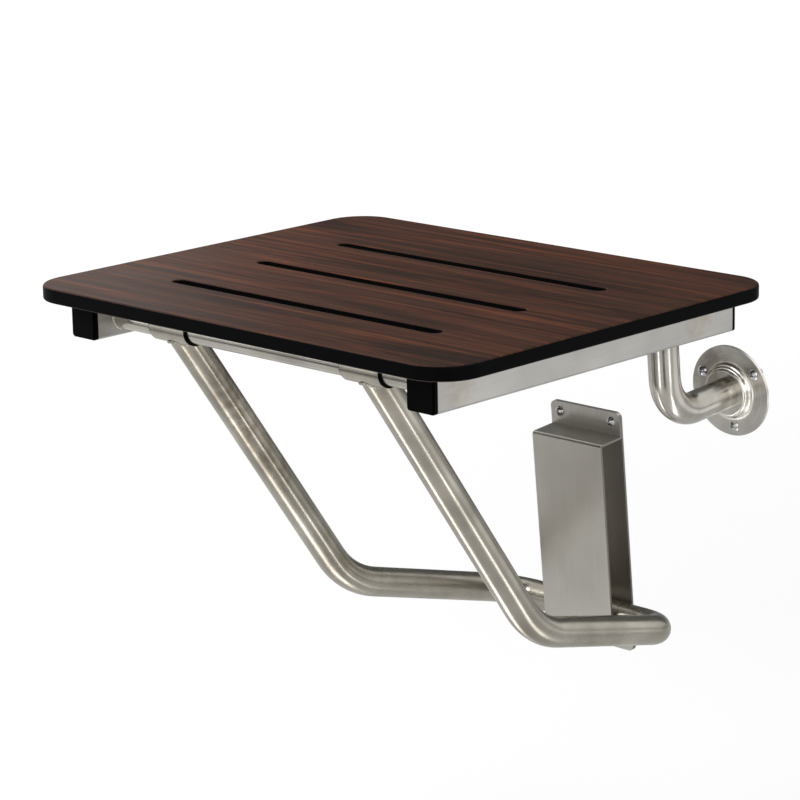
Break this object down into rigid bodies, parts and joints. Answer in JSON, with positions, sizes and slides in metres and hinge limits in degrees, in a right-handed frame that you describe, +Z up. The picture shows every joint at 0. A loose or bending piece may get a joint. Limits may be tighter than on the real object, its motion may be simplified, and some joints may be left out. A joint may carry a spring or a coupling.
{
  "type": "fold down wall seat",
  "caption": "Wall-mounted seat panel with drain slots on two rails; it folds up on hinge arms while a bent leg frame slides in a wall guide.",
  "frame": {"origin": "middle of the wall guide's four screws, on the wall's plane", "axes": "+X to the right facing the wall, +Y into the wall, +Z up; the seat reaches into the room towards -Y"},
  "size_m": [0.457, 0.4133, 0.3988],
  "materials": {
    "panel_core": "satin black compact laminate core",
    "wood_laminate": "satin dark walnut grain laminate, grain along X",
    "rail_steel": "pale satin",
    "tube_steel": "satin, brushed along the tube",
    "flange_steel": "satin, brushed round",
    "guide_steel": "satin, brushed upright",
    "screw_steel": "polished",
    "cap_plastic": "matte",
    "bush_plastic": "matte",
    "insert_brass": "plain"
  },
  "bodies": {
    "wall_mount": {"hinge_arm_left": "tube_steel", "hinge_arm_right": "tube_steel", "rear_sleeve_left": "tube_steel", "rear_sleeve_right": "tube_steel", "rear_bushes_left": "bush_plastic", "rear_bushes_right": "bush_plastic", "wall_flange_left": "flange_steel", "wall_flange_right": "flange_steel", "flange_screws_left": "screw_steel", "flange_screws_right": "screw_steel", "guide_channel": "guide_steel", "guide_back_plate": "guide_steel", "guide_screws": "screw_steel"},
    "seat": {"seat_core": "panel_core", "seat_top_laminate": "wood_laminate", "seat_bottom_laminate": "wood_laminate", "side_rail_left": "rail_steel", "side_rail_right": "rail_steel", "front_cap_left": "cap_plastic", "front_cap_right": "cap_plastic", "rear_cap_left": "cap_plastic", "rear_cap_right": "cap_plastic", "front_cross_tube": "tube_steel", "rear_cross_tube": "tube_steel", "panel_screws": "screw_steel", "panel_inserts": "insert_brass"},
    "leg_frame": {"leg_tube_left": "tube_steel", "leg_tube_right": "tube_steel", "front_sleeve_left": "tube_steel", "front_sleeve_right": "tube_steel", "front_bushes_left": "bush_plastic", "front_bushes_right": "bush_plastic"},
    "sliding_bar": {"guide_bar": "tube_steel"}
  },
  "joints": [
    {"name": "seat_fold", "type": "hinge", "parent": "wall_mount", "child": "seat", "pos_m": [0, -0.0835, 0.236], "axis": [-1, 0, 0], "range_deg": [0, 84.9]},
    {"name": "leg_swing", "type": "hinge", "parent": "seat", "child": "leg_frame", "pos_m": [0, -0.35542, 0.26027], "axis": [1, 0, 0], "range_deg": [0, 47.53]},
    {"name": "bar_slide", "type": "slide", "parent": "wall_mount", "child": "sliding_bar", "axis": [0, 0, 1], "range_m": [0, 0.11046]}
  ],
  "couplings": [
    {"joint": "leg_swing", "follows": "seat_fold", "ratio": 0.55974},
    {"joint": "bar_slide", "follows": "seat_fold", "m_per_rad": 0.07451}
  ]
}
